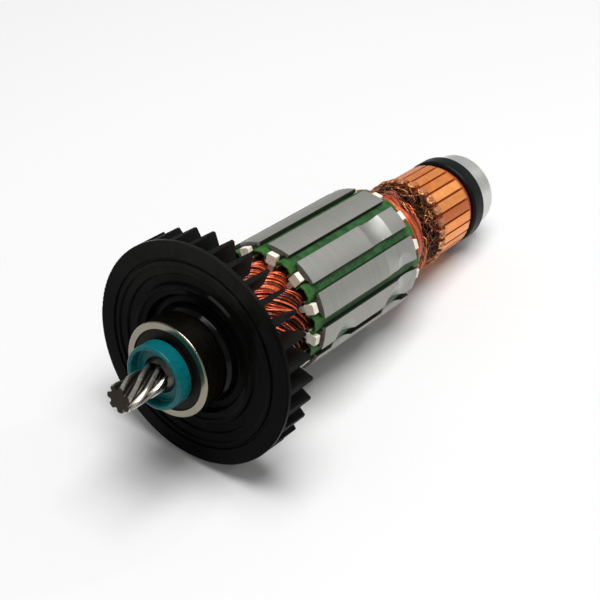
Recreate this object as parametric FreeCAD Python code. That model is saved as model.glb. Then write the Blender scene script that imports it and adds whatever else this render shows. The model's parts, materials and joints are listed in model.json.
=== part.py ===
import FreeCAD, Part
import os
from math import sin, cos, tan, pi, radians, degrees, atan, atan2, sqrt, hypot, acos
from FreeCAD import Vector as V

# Wound rotor of a universal motor, lying on a flat surface on two blades of
# its fan and on the rear edge of its dust ring.
# It is built about its own axis: s runs along X from the fan's front plane,
# positive towards the rear bearing, and psi is the angle about the axis from
# straight up, clockwise as seen from the pinion. At the end the whole rotor is
# tilted and set down on Z = 0.

# ---------------------------------------------------------------- dimensions
# shaft and pinion
PIN_TIP = -24.5          # s of the pinion's end face
PIN_R = 3.65             # tip radius
PIN_ROOT = 2.35
PIN_TEETH = 7
PIN_LEAD = 42.9          # left-hand helix
PIN_PHASE = 62.1         # psi of a tooth crest at s = -24
PIN_END = -11.6          # teeth end inside the teal ring
SHAFT_FRONT_R = 4.5      # front bearing seat
SHAFT_MID_R = 5.0        # fan, sleeve and commutator seats
SHAFT_NECK_R = 4.5       # dust ring seat
SHAFT_REAR_R = 4.0       # rear bearing seat
SHAFT_END = 120.9

# teal ring
TEAL_S0, TEAL_S1 = -13.27, -9.07
TEAL_R = 8.03
TEAL_WALL = 1.15

# front bearing, 9 x 24 x 7
FB_S0, FB_S1 = -8.4, -1.4
FB_OD_R, FB_BORE_R = 12.0, 4.5
FB_PITCH_R = 8.25
# rear bearing, 8 x 22 x 7
RB_S0, RB_S1 = 114.2, 121.2
RB_OD_R, RB_BORE_R = 11.0, 4.0
RB_PITCH_R = 7.5
BALL_R = 1.985
BALL_COUNT = 7
RACE_R = 2.06            # groove radius

# fan
FAN_R = 28.5
FAN_BLADES = 32
BLADE_T0, BLADE_T1 = 1.45, 0.8   # thickness at the disc and at the tip
BLADE_TIP_S = 9.3        # rear corner of a blade at FAN_R
BLADE_SLOPE = 0.35       # the rear edge runs back by this much per mm inwards
BLADE_R0 = 20.8
FAN_PHASE = 5.625        # psi of a blade; two blades are level at the bottom

# core
CORE_R = 17.5
CORE_S0, CORE_S1 = 29.6, 70.5
CORE_BORE_R = 6.5
SLOTS = 12
SLOT_PHASE = 19.3        # psi of a slot's centre
TOOTH_HALF = 1.7         # half width of a tooth
SLOT_OPEN_HALF = 1.22
SLOT_BOTTOM = 9.2

# winding overhangs
LINER_OUT = 2.3          # liner length past the core, each end
WEDGE_OUT = 2.7
BLOCK_S = 2.7            # end insulator's blocks stand out this far
STAR_R = 16.9            # outer radius of its star-shaped plate

# commutator
COM_R = 12.48
COM_BARS = 24
COM_PHASE = 4.4          # psi of a bar's centre
COM_S0, COM_S1 = 90.0, 106.3
TRACK_S0 = 92.9          # the brush track starts here
COM_GAP = 0.62           # width of the gap between bars
COM_IN_R = 8.8
COM_UNDERCUT_R = 11.85
HUB_END = 108.7

# dust ring
DUST_R = 12.64
DUST_S0, DUST_S1 = 108.8, 113.9
DUST_CH = 0.35

# --------------------------------------------------------------------- tools
AX = V(1, 0, 0)
O = V(0, 0, 0)


def rounded(pts, put):
    """Closed wire through (a, b) or (a, b, r) points, corner radius r."""
    n = len(pts)
    segs = []
    cuts = []
    for i in range(n):
        p = pts[i]
        r = p[2] if len(p) > 2 else 0.0
        if r <= 0:
            cuts.append(((p[0], p[1]), None, (p[0], p[1])))
            continue
        q, t = pts[i - 1], pts[(i + 1) % n]
        ax, ay = q[0] - p[0], q[1] - p[1]
        bx, by = t[0] - p[0], t[1] - p[1]
        la, lb = hypot(ax, ay), hypot(bx, by)
        ax, ay, bx, by = ax / la, ay / la, bx / lb, by / lb
        c = max(-1.0, min(1.0, ax * bx + ay * by))
        half = acos(c) / 2
        d = r / tan(half)
        m = 0.499 * min(la, lb)
        if d > m:
            d = m
            r = d * tan(half)
        hx, hy = ax + bx, ay + by
        lh = hypot(hx, hy)
        k = r / sin(half) - r
        mid = (p[0] + hx / lh * k, p[1] + hy / lh * k)
        cuts.append(((p[0] + ax * d, p[1] + ay * d), mid,
                     (p[0] + bx * d, p[1] + by * d)))
    for i in range(n):
        a, m, b = cuts[i]
        if m:
            segs.append(Part.Arc(put(*a), put(*m), put(*b)).toShape())
        c = cuts[(i + 1) % n][0]
        if hypot(c[0] - b[0], c[1] - b[1]) > 1e-6:
            segs.append(Part.LineSegment(put(*b), put(*c)).toShape())
    return Part.Wire(segs)


def meridian(a, b):
    return V(a, 0, b)


def turned(pts):
    """Solid of revolution about the axis from (s, r) points."""
    return Part.Face(rounded(pts, meridian)).revolve(O, AX, 360)


def prism(pts, s0, s1):
    """Cross-section of (u, radial) points, run from s0 to s1."""
    w = rounded(pts, lambda u, r: V(s0, u, r))
    return Part.Face(w).extrude(V(s1 - s0, 0, 0))


def spun(shape, psi):
    c = shape.copy()
    c.rotate(O, AX, psi)
    return c


def ring_of(shape, count, phase):
    return [spun(shape, phase + 360.0 * i / count) for i in range(count)]


def tube(s0, s1, r0, r1, ch=0.0):
    if ch:
        return turned([(s0, r0), (s1, r0), (s1, r1 - ch), (s1 - ch, r1),
                       (s0 + ch, r1), (s0, r1 - ch)])
    return turned([(s0, r0), (s1, r0), (s1, r1), (s0, r1)])


def wall(t, off):
    """Point on a slot's side wall, off mm inside it, slot centre up."""
    a = radians(180.0 / SLOTS)
    return (t * sin(a) - (TOOTH_HALF + off) * cos(a),
            t * cos(a) + (TOOTH_HALF + off) * sin(a))


def wall_at(rc, off):
    a = radians(180.0 / SLOTS)
    return wall((rc - (TOOTH_HALF + off) * sin(a)) / cos(a), off)


def mirror(pts):
    return [(-p[0],) + tuple(p[1:]) for p in reversed(pts)]


nodes = {}

# --------------------------------------------------------------------- shaft
# Pinion: a seven-tooth section turned about the axis from end to end.
def pinion_wire(s):
    edges = []
    turn = PIN_PHASE - (s + 24.0) * 360.0 / PIN_LEAD
    pitch = 360.0 / PIN_TEETH

    def at(r, deg):
        a = radians(turn + deg)
        return V(s, -r * sin(a), r * cos(a))
    for k in range(PIN_TEETH):
        c = k * pitch
        # crest, flank, root, flank
        edges.append(Part.Arc(at(PIN_R, c - 6.5), at(PIN_R + 0.01, c),
                              at(PIN_R, c + 6.5)).toShape())
        edges.append(Part.Arc(at(PIN_R, c + 6.5), at(3.08, c + 13.2),
                              at(2.52, c + 18.0)).toShape())
        edges.append(Part.Arc(at(2.52, c + 18.0), at(PIN_ROOT, c + pitch / 2),
                              at(2.52, c + pitch - 18.0)).toShape())
        edges.append(Part.Arc(at(2.52, c + pitch - 18.0), at(3.08, c + pitch - 13.2),
                              at(PIN_R, c + pitch - 6.5)).toShape())
    return Part.Wire(edges)


steps = 15
sections = [pinion_wire(PIN_TIP + (PIN_END - PIN_TIP) * i / (steps - 1)) for i in range(steps)]
pinion = Part.makeLoft(sections, True, False)
# the end face is chamfered
pinion = pinion.common(turned([(PIN_TIP, 0), (PIN_END, 0), (PIN_END, 4.2),
                               (PIN_TIP + 0.9, 4.2), (PIN_TIP, 3.3)]))
bar = turned([(PIN_END - 0.4, 0), (SHAFT_END, 0), (SHAFT_END, SHAFT_REAR_R - 0.5),
              (SHAFT_END - 0.5, SHAFT_REAR_R), (RB_S0, SHAFT_REAR_R),
              (RB_S0, SHAFT_NECK_R), (DUST_S0 - 0.4, SHAFT_NECK_R),
              (DUST_S0 - 0.4, SHAFT_MID_R), (FB_S1, SHAFT_MID_R),
              (FB_S1, SHAFT_FRONT_R), (PIN_END + 0.6, SHAFT_FRONT_R),
              (PIN_END - 0.4, SHAFT_FRONT_R - 1.0)])
nodes["shaft_with_pinion"] = pinion.fuse(bar).removeSplitter()

# insulating sleeve between shaft and core
nodes["shaft_sleeve"] = tube(13.5, 88.6, SHAFT_MID_R, CORE_BORE_R, 0.2)

# ----------------------------------------------------------------- teal ring
nodes["teal_ring"] = turned([
    (TEAL_S0, TEAL_R - TEAL_WALL, 0.5), (TEAL_S0, TEAL_R, 0.6),
    (TEAL_S1, TEAL_R, 0.15), (TEAL_S1, SHAFT_FRONT_R),
    (TEAL_S1 - 1.7, SHAFT_FRONT_R), (TEAL_S1 - 1.7, TEAL_R - TEAL_WALL - 0.1, 0.35)])


# ------------------------------------------------------------------ bearings
def bearing(name, s0, s1, od, bore, pitch, closure, thick):
    mid = (s0 + s1) / 2.0
    land_o = pitch + 1.45      # shoulder beside the outer groove
    seat_o = pitch + 2.05      # the closure sits here
    land_i = pitch - 1.45
    torus = Part.makeTorus(pitch, RACE_R, V(mid, 0, 0), AX)
    outer = turned([(s0, seat_o), (s0 + 1.1, seat_o), (s0 + 1.1, land_o),
                    (s1 - 1.1, land_o), (s1 - 1.1, seat_o), (s1, seat_o),
                    (s1, od, 0.3), (s0, od, 0.3)]).cut(torus)
    inner = turned([(s0, bore, 0.15), (s1, bore, 0.15), (s1, land_i, 0.15),
                    (s0, land_i, 0.15)]).cut(torus)
    nodes[name + "_outer_ring"] = outer
    nodes[name + "_inner_ring"] = inner
    ball = Part.makeSphere(BALL_R, V(mid, 0, pitch))
    nodes[name + "_balls"] = Part.makeCompound(ring_of(ball, BALL_COUNT, 0.0))
    # crown cage: a ring with a radial hole for each ball, open to the rear
    pocket = Part.makeCylinder(BALL_R + 0.06, 3.0, V(mid, 0, pitch - 1.5), V(0, 0, 1))
    cage = tube(mid - 2.4, mid + 0.9, pitch - 0.72, pitch + 0.72)
    nodes[name + "_cage"] = cage.cut(ring_of(pocket, BALL_COUNT, 0.0))
    for end, a in (("front", s0 + 0.2), ("rear", s1 - 0.2 - thick)):
        b = a + thick
        edge = a if end == "front" else b
        back = b if end == "front" else a
        step = 0.12 if end == "front" else -0.12
        nodes["%s_%s_%s" % (name, end, closure)] = turned([
            (back, land_i + 0.1), (edge + 2 * step, land_i + 0.1, 0.05),
            (edge + 2 * step, land_i + 0.75, 0.1), (edge, land_i + 1.0, 0.1),
            (edge, seat_o - 0.5, 0.1), (edge + step, seat_o), (back, seat_o)])


bearing("front_bearing", FB_S0, FB_S1, FB_OD_R, FB_BORE_R, FB_PITCH_R, "seal", 0.75)
bearing("rear_bearing", RB_S0, RB_S1, RB_OD_R, RB_BORE_R, RB_PITCH_R, "shield", 0.5)

# ----------------------------------------------------------------------- fan
# Front relief from the hub outwards, then the back of the disc inwards.
disc = turned([
    (-1.2, SHAFT_MID_R), (-1.2, 6.8, 0.2), (-0.75, 7.3, 0.2), (-0.7, 11.4, 0.5),
    (0.3, 12.1, 0.6), (2.2, 12.7, 0.5), (2.4, 14.4, 0.35), (0.75, 15.0, 0.35),
    (0.55, 16.5, 0.3), (0.2, 16.8, 0.25), (0.2, 17.7, 0.25), (1.0, 18.2, 0.25),
    (1.05, 20.1, 0.25), (0.5, 20.5, 0.25), (0.5, 22.4, 0.2), (0.0, 22.7, 0.2),
    (0.0, 23.5, 0.15), (0.5, 23.75, 0.12), (0.5, 24.2, 0.12), (0.0, 24.45, 0.15),
    (0.0, FAN_R, 0.35), (1.2, FAN_R, 0.2), (1.7, 24.0, 1.0), (2.7, 21.0, 2.0),
    (3.8, 15.0, 2.0), (4.6, 12.2, 1.0), (7.0, 10.0, 1.5), (12.8, 9.2, 0.4),
    (12.8, SHAFT_MID_R)])
blade_s_in = BLADE_TIP_S + BLADE_SLOPE * (FAN_R - BLADE_R0)
profile = rounded([(0.8, FAN_R + 1.0), (1.1, 24.0), (1.8, BLADE_R0),
                   (blade_s_in, BLADE_R0, 0.6), (BLADE_TIP_S - BLADE_SLOPE * 1.0, FAN_R + 1.0)],
                  lambda a, b: V(a, -1.0, b))
blade = Part.Face(profile).extrude(V(0, 2.0, 0))


def blade_half(s):
    return (BLADE_T0 + (BLADE_T1 - BLADE_T0) * (s - 1.2) / (BLADE_TIP_S - 1.2)) / 2.0


# the sides taper from the disc to the tip
taper = Part.Face(Part.Wire([Part.LineSegment(a, b).toShape() for a, b in (
    (V(0, -blade_half(0), 5), V(15, -blade_half(15), 5)),
    (V(15, -blade_half(15), 5), V(15, blade_half(15), 5)),
    (V(15, blade_half(15), 5), V(0, blade_half(0), 5)),
    (V(0, blade_half(0), 5), V(0, -blade_half(0), 5)))])).extrude(V(0, 0, 30))
rim = tube(-2.0, 20.0, 0.0, FAN_R)
blade = blade.common(taper).common(rim).cut(disc)
nodes["fan"] = disc
nodes["fan_blades"] = Part.makeCompound(ring_of(blade, FAN_BLADES, FAN_PHASE))

# ---------------------------------------------------------------------- core
shoulder = (2.42, 15.6)
half_slot = [(SLOT_OPEN_HALF, 16.44, 0.25), shoulder + (0.45,),
             wall_at(SLOT_BOTTOM, 0.0) + (0.62,)]
slot = prism([(SLOT_OPEN_HALF, 19.0)] + half_slot + mirror(half_slot)
             + [(-SLOT_OPEN_HALF, 19.0)], CORE_S0 - 5, CORE_S1 + 5)
slots = ring_of(slot, SLOTS, SLOT_PHASE)
core = tube(CORE_S0, CORE_S1, CORE_BORE_R, CORE_R).cut(slots)


# Balance cuts, milled after assembly. A round cut follows the rotor's surface
# over one tooth; a flat one is a trough straight across, over a slot.
def round_cut(psi, span, s, depth, radius):
    c = Part.makeTorus(CORE_R - depth + radius, radius, V(s, 0, 0), AX)
    box = Part.makeBox(60, 40, 40, V(s - 30, 0, 0))   # psi from -90 to 0
    one = spun(box, 90.0 - span / 2).common(box)      # psi from -span / 2 to 0
    near = tube(s - 8, s + 8, 14.0, 19.5).common(one.fuse(one.mirror(O, V(0, 1, 0))))
    return spun(near.common(c), psi)


def flat_cut(psi, s, depth, radius, lean=0.0):
    c = Part.makeCylinder(radius, 24, V(s, -12, CORE_R - depth + radius), V(0, 1, 0))
    c.rotate(V(s, 0, CORE_R), V(0, 0, 1), lean)
    return spun(c, psi)


TOOTH = SLOT_PHASE + 15.0
core = core.cut([round_cut(TOOTH, 29.0, 59.7, 0.7, 15.0),
                 round_cut(TOOTH + 30, 29.0, 60.6, 0.28, 15.0),
                 flat_cut(SLOT_PHASE + 60, 65.3, 0.7, 12.0),
                 flat_cut(SLOT_PHASE + 90, 62.2, 1.25, 10.0, 6.0),
                 flat_cut(SLOT_PHASE + 90, 39.6, 1.15, 9.0)])
nodes["core_stack"] = core

# liners, closing strips and end insulators
lt = 14.4
o = [wall(lt, 0.02), wall_at(SLOT_BOTTOM + 0.02, 0.02) + (0.6,)]
i = [wall_at(SLOT_BOTTOM + 0.27, 0.27) + (0.36,), wall(lt, 0.27)]
liner = prism(o + mirror(o) + mirror(i) + i,
              CORE_S0 - LINER_OUT, CORE_S1 + LINER_OUT)
liners = ring_of(liner, SLOTS, SLOT_PHASE)
nodes["slot_liners"] = Part.makeCompound(liners)

wo = [wall(14.5, 0.02), (2.37, 15.57, 0.42), (1.15, 16.38, 0.5)]
wi = [(1.03, 16.04, 0.4), (2.0, 15.36, 0.3), wall(14.5, 0.36)]
wedge = prism(wo + mirror(wo) + mirror(wi) + wi,
              CORE_S0 - WEDGE_OUT, CORE_S1 + WEDGE_OUT)
wedges = ring_of(wedge, SLOTS, SLOT_PHASE)
nodes["slot_wedges"] = Part.makeCompound(wedges)

grown = [(2.5, 15.6), wall_at(SLOT_BOTTOM - 0.1, -0.04) + (0.6,)]
hole = prism([(2.5, 19.0)] + grown + mirror(grown) + [(-2.5, 19.0)], 20, 80)
holes = ring_of(hole, SLOTS, SLOT_PHASE)


def end_insulator(s_face, out):
    """Star of plate thickness 0.8 on a core end; out is -1 or +1."""
    def span(d0, d1):
        return sorted((s_face + out * d0, s_face + out * d1))
    a, b = span(0, 0.8)
    star = tube(a, b, CORE_BORE_R, STAR_R).cut(holes)
    a, b = span(0, 5.0)
    collar = tube(a, b, CORE_BORE_R, 7.4)
    a, b = span(0.7, BLOCK_S)
    block = prism([(-1.35, 14.0, 0.15), (1.35, 14.0, 0.15), (1.3, 16.7, 0.25),
                   (-1.3, 16.7, 0.25)], a, b)
    a2, b2 = span(0.0, 0.8)
    heel = prism([(-1.35, 14.0), (1.35, 14.0), (1.3, 16.7, 0.25), (-1.3, 16.7, 0.25)], a2, b2)
    a3, b3 = span(0.7, BLOCK_S - 0.35)
    arm = prism([(-0.75, 11.6, 0.2), (0.75, 11.6, 0.2), (0.75, 14.3), (-0.75, 14.3)], a3, b3)
    parts = []
    for p in (block, heel, arm):
        parts += ring_of(p, SLOTS, TOOTH)
    return star.multiFuse([collar] + parts).removeSplitter()


nodes["front_end_insulator"] = end_insulator(CORE_S0, -1)
nodes["rear_end_insulator"] = end_insulator(CORE_S1, 1)

# ------------------------------------------------------------------- winding
front_lump = turned([(15.8, CORE_BORE_R), (CORE_S0, CORE_BORE_R), (CORE_S0, 12.9),
                     (26.0, 13.4, 2.0), (20.5, 13.4, 3.0), (16.9, 12.2, 2.0),
                     (15.2, 9.6, 1.6)])
rear_lump = turned([(CORE_S1, CORE_BORE_R), (CORE_S1, 14.0), (73.5, 14.9, 1.0),
                    (76.6, 14.7, 1.2), (79.0, 13.6, 1.2), (82.5, 12.4, 3.0),
                    (86.0, 11.75, 3.0), (89.4, 11.6, 0.3), (89.4, CORE_BORE_R)])
fill = prism([wall(14.6, 0.29), wall_at(SLOT_BOTTOM + 0.29, 0.29) + (0.3,)]
             + mirror([wall(14.6, 0.29), wall_at(SLOT_BOTTOM + 0.29, 0.29) + (0.3,)]),
             CORE_S0 - 0.5, CORE_S1 + 0.5)
winding = front_lump.multiFuse([rear_lump] + ring_of(fill, SLOTS, SLOT_PHASE))
winding = winding.cut(liners + wedges + [nodes["front_end_insulator"],
                                         nodes["rear_end_insulator"]])
nodes["armature_winding"] = winding

# ---------------------------------------------------------------- commutator
half = radians(180.0 / COM_BARS)


def bar_sector(r0, r1, s0, s1):
    """Bar with parallel-sided gaps to its neighbours."""
    g = COM_GAP / 2.0
    def p(r):
        # the side is parallel to the gap's centre line
        t = sqrt(r * r - g * g)
        return (t * sin(half) - g * cos(half), t * cos(half) + g * sin(half))
    a, b = p(r0), p(r1)
    w = Part.Wire([
        Part.LineSegment(V(s0, a[0], a[1]), V(s0, b[0], b[1])).toShape(),
        Part.Arc(V(s0, b[0], b[1]), V(s0, 0, r1), V(s0, -b[0], b[1])).toShape(),
        Part.LineSegment(V(s0, -b[0], b[1]), V(s0, -a[0], a[1])).toShape(),
        Part.Arc(V(s0, -a[0], a[1]), V(s0, 0, r0), V(s0, a[0], a[1])).toShape()])
    return Part.Face(w).extrude(V(s1 - s0, 0, 0))


track = bar_sector(COM_IN_R, COM_R, TRACK_S0, COM_S1)
root = bar_sector(COM_IN_R, 12.0, COM_S0, TRACK_S0 + 0.1)
hook_w = 1.9
hook = Part.Face(rounded([
    (89.5, 11.0, 0.2), (89.5, 12.7, 0.6), (90.2, 13.18, 0.5), (92.1, 13.14, 0.3),
    (92.8, 12.86, 0.12), (92.7, 12.72, 0.05), (90.75, 12.74, 0.35), (90.45, 12.0, 0.1),
    (90.45, 11.0, 0.1)], lambda a, b: V(a, -hook_w / 2, b))).extrude(V(0, hook_w, 0))
one_bar = track.multiFuse([root, hook]).removeSplitter()
bars = ring_of(one_bar, COM_BARS, COM_PHASE)
one_bar_at_phase = bars[0]
nodes["commutator_bars"] = Part.makeCompound(bars)
hub = turned([(89.5, 6.2, 0.1), (89.5, 10.9, 0.2), (COM_S0, 11.0),
              (COM_S0 + 0.6, COM_UNDERCUT_R), (COM_S1 - 0.3, COM_UNDERCUT_R),
              (COM_S1, 11.5), (HUB_END, 11.5, 0.4), (HUB_END, 6.2, 0.1)])
nodes["commutator_hub"] = hub.cut(bars)
nodes["commutator_bush"] = tube(89.6, DUST_S0 - 0.4, SHAFT_MID_R, 6.2, 0.1)

# leads: one pair's bundle to each hook, laid at a slant over the overhang
lead_r = 0.33


def at(s, r, deg):
    a = radians(deg)
    return V(s, -r * sin(a), r * cos(a))


route = [at(75.9, 15.0, COM_PHASE + 50.0), at(79.8, 13.95, COM_PHASE + 35.0),
         at(84.8, 12.85, COM_PHASE + 17.0), at(89.2, 12.40, COM_PHASE + 1.2),
         at(92.5, 12.37, COM_PHASE)]
lead = None
for a, b in zip(route[:-1], route[1:]):
    c = Part.makeCylinder(lead_r, (b - a).Length, a, b - a)
    lead = c if lead is None else lead.fuse(c)
    if b is not route[-1]:
        lead = lead.fuse(Part.makeSphere(lead_r, b))
lead = lead.cut([rear_lump, one_bar_at_phase])
lead = max(lead.Solids, key=lambda q: q.Volume)
nodes["winding_leads"] = Part.makeCompound(ring_of(lead, COM_BARS, 0.0))

# ----------------------------------------------------------------- dust ring
nodes["dust_ring"] = turned([
    (DUST_S0, SHAFT_NECK_R), (DUST_S0, DUST_R - 0.75), (DUST_S0 + 0.25, DUST_R - 0.3),
    (DUST_S0 + 0.7, DUST_R), (DUST_S1 - DUST_CH, DUST_R), (DUST_S1, DUST_R - DUST_CH),
    (DUST_S1, 10.8, 0.3), (DUST_S1 - 1.4, 10.4, 0.3), (DUST_S1 - 1.4, 6.6, 0.2),
    (DUST_S1, 6.2, 0.2), (DUST_S1, SHAFT_NECK_R)])

# --------------------------------------------------------------- set it down
# The lowest corner of the two bottom blades and the dust ring's rear edge
# meet the floor. Blade corner: the side nearer the bottom.
blade_low = FAN_R * cos(radians(FAN_PHASE) - atan(BLADE_T1 / 2 / FAN_R))
edge_s = DUST_S1 - DUST_CH
edge_r = DUST_R
tilt = atan((blade_low - edge_r) / (edge_s - BLADE_TIP_S))
TILT = degrees(tilt)
floor = -(BLADE_TIP_S * sin(tilt) + blade_low * cos(tilt))

for name in nodes:
    nodes[name].rotate(O, V(0, 1, 0), TILT)
box = None
for name in nodes:
    b = nodes[name].optimalBoundingBox(False, False)
    if box is None:
        box = [b.XMin, b.XMax, b.YMin, b.YMax, b.ZMin, b.ZMax]
    else:
        box = [min(box[0], b.XMin), max(box[1], b.XMax), min(box[2], b.YMin),
               max(box[3], b.YMax), min(box[4], b.ZMin), max(box[5], b.ZMax)]
shift = V(-(box[0] + box[1]) / 2, -(box[2] + box[3]) / 2, -floor)
print("tilt %.4f deg, floor %.4f, box low z %.4f" % (TILT, floor, box[4]))
print("fan front centre at (%.5f, %.5f, %.5f) mm" % (shift.x, shift.y, shift.z))
print("axis direction (%.6f, 0, %.6f)" % (cos(tilt), -sin(tilt)))
print("box %.3f x %.3f x %.3f" % (box[1] - box[0], box[3] - box[2], box[5] - box[4]))

os.makedirs("parts", exist_ok=True)
for name in sorted(nodes):
    shape = nodes[name]
    shape.translate(shift)
    bad = [q for q in shape.Solids if not q.isValid()]
    print("%-28s solids %3d volume %10.2f%s" % (
        name, len(shape.Solids), sum(q.Volume for q in shape.Solids),
        "  INVALID" if bad or not shape.Solids else ""))
    if shape.ShapeType != "Solid":
        solids = shape.Solids
        shape = solids[0] if len(solids) == 1 else Part.makeCompound(solids)
    shape.exportStep("parts/%s.step" % name)
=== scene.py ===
import json
import math
import random

import bmesh
import bpy
import numpy as np
from mathutils import Matrix, Vector


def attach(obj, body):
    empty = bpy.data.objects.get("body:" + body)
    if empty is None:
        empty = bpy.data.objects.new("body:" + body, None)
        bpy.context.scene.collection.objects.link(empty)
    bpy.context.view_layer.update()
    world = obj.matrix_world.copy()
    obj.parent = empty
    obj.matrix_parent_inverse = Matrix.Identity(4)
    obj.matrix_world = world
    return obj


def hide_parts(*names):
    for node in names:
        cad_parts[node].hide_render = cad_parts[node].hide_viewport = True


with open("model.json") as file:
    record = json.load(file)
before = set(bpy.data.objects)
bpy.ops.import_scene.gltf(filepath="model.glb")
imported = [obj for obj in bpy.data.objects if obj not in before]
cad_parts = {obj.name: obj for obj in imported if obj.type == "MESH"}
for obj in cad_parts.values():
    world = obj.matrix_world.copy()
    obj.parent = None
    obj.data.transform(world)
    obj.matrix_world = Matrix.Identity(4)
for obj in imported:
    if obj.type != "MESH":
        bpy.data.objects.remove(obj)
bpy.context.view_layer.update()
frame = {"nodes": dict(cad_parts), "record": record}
NODE = frame["nodes"]
RECORD = frame["record"]
scene = bpy.context.scene
rng = random.Random(7)

# --------------------------------------------------------------- rotor frame
# s runs along the rotor's axis from the fan's front plane, in mm; psi is the
# angle about it from straight up, clockwise as seen from the pinion.
seat = next(m for m in RECORD["mounts"] if m["name"] == "front_bearing_seat")
A = -Vector(seat["axis"]).normalized()
Y = Vector((0, 1, 0))
Z = A.cross(Y)
C = Vector(seat["pos_m"]) + A * 0.0049
CORE_R = 17.5
MOUTH_HALF = 1.22


def W(s, r, psi):
    """World point from axial s (mm), radius r (mm) and psi (degrees)."""
    a = math.radians(psi)
    return C + (A * s + Z * (r * math.cos(a)) - Y * (r * math.sin(a))) * 0.001


def WL(s, u, v, psi):
    """World point at psi: u sideways (with increasing psi), v radially, mm."""
    a = math.radians(psi)
    e = Z * math.cos(a) - Y * math.sin(a)
    t = -Z * math.sin(a) - Y * math.cos(a)
    return C + (A * s + e * v + t * u) * 0.001


# -------------------------------------------------------------------- camera
right = Vector((0.604198, -0.796834, 0.0)).normalized()
flat = Vector((-right.y, right.x, 0.0))
elev = math.radians(38.45)
fwd = flat * math.cos(elev) - Vector((0, 0, math.sin(elev)))
upc = flat * math.sin(elev) + Vector((0, 0, math.cos(elev)))
cam_data = bpy.data.cameras.new("camera")
cam = bpy.data.objects.new("camera", cam_data)
scene.collection.objects.link(cam)
cam_data.sensor_width = 36.0
cam_data.lens = 84.0
cam_data.clip_start, cam_data.clip_end = 0.01, 20.0
P0 = Vector((-0.02547, 0.01295, 0.3263))
m = Matrix((right, upc, -fwd)).transposed().to_4x4()
m.translation = C - (right * P0.x - upc * P0.y + fwd * P0.z)
cam.matrix_world = m
scene.camera = cam

# --------------------------------------------------------------- stage, light
scene.view_settings.view_transform = "Standard"
scene.view_settings.look = "None"


def material(name):
    mt = bpy.data.materials.new(name)
    mt.use_nodes = True
    nt = mt.node_tree
    nt.nodes.clear()
    out = nt.nodes.new("ShaderNodeOutputMaterial")
    b = nt.nodes.new("ShaderNodeBsdfPrincipled")
    nt.links.new(b.outputs[0], out.inputs[0])
    return mt, nt, b


class G:
    """Short hand for a node tree."""

    def __init__(self, nt):
        self.nt = nt

    def new(self, kind, **props):
        n = self.nt.nodes.new(kind)
        for k, v in props.items():
            setattr(n, k, v)
        return n

    def put(self, sock, v):
        if isinstance(v, bpy.types.NodeSocket):
            self.nt.links.new(v, sock)
        elif v is not None:
            sock.default_value = v

    def math(self, op, a, b=None, c=None, clamp=False):
        n = self.new("ShaderNodeMath", operation=op, use_clamp=clamp)
        for i, v in enumerate((a, b, c)):
            if v is not None:
                self.put(n.inputs[i], v)
        return n.outputs[0]

    def vmath(self, op, a, b=None, scale=None):
        n = self.new("ShaderNodeVectorMath", operation=op)
        self.put(n.inputs[0], a)
        if b is not None:
            self.put(n.inputs[1], b)
        if scale is not None:
            self.put(n.inputs["Scale"], scale)
        return n.outputs["Value"] if op in ("DOT_PRODUCT", "LENGTH") else n.outputs[0]

    def noise(self, vec, scale, detail=3.0, rough=0.55, dist=0.0):
        n = self.new("ShaderNodeTexNoise")
        self.put(n.inputs["Vector"], vec)
        self.put(n.inputs["Scale"], scale)
        self.put(n.inputs["Detail"], detail)
        self.put(n.inputs["Roughness"], rough)
        self.put(n.inputs["Distortion"], dist)
        return n.outputs["Fac"]

    def ramp(self, fac, stops, interp="LINEAR"):
        n = self.new("ShaderNodeValToRGB")
        n.color_ramp.interpolation = interp
        el = n.color_ramp.elements
        while len(el) < len(stops):
            el.new(0.5)
        for e, (p, c) in zip(el, stops):
            e.position = p
            e.color = c if len(c) == 4 else tuple(c) + (1.0,)
        self.put(n.inputs[0], fac)
        return n.outputs[0]

    def step(self, v, a, b, lo=0.0, hi=1.0):
        n = self.new("ShaderNodeMapRange", interpolation_type="SMOOTHSTEP")
        self.put(n.inputs[0], v)
        for i, x in enumerate((a, b, lo, hi)):
            self.put(n.inputs[i + 1], x)
        return n.outputs[0]

    def mix(self, fac, a, b, blend="MIX"):
        n = self.new("ShaderNodeMix", data_type="RGBA", blend_type=blend)
        self.put(n.inputs[0], fac)
        for sock, v in ((n.inputs[6], a), (n.inputs[7], b)):
            self.put(sock, v if isinstance(v, bpy.types.NodeSocket) else tuple(v) + (1.0,) * (4 - len(v)))
        return n.outputs[2]

    def bump(self, height, strength, distance, normal=None):
        n = self.new("ShaderNodeBump")
        self.put(n.inputs["Height"], height)
        n.inputs["Strength"].default_value = strength
        n.inputs["Distance"].default_value = distance
        if normal is not None:
            self.put(n.inputs["Normal"], normal)
        return n.outputs[0]

    def combine(self, x, y, z):
        n = self.new("ShaderNodeCombineXYZ")
        for i, v in enumerate((x, y, z)):
            self.put(n.inputs[i], v)
        return n.outputs[0]


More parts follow.
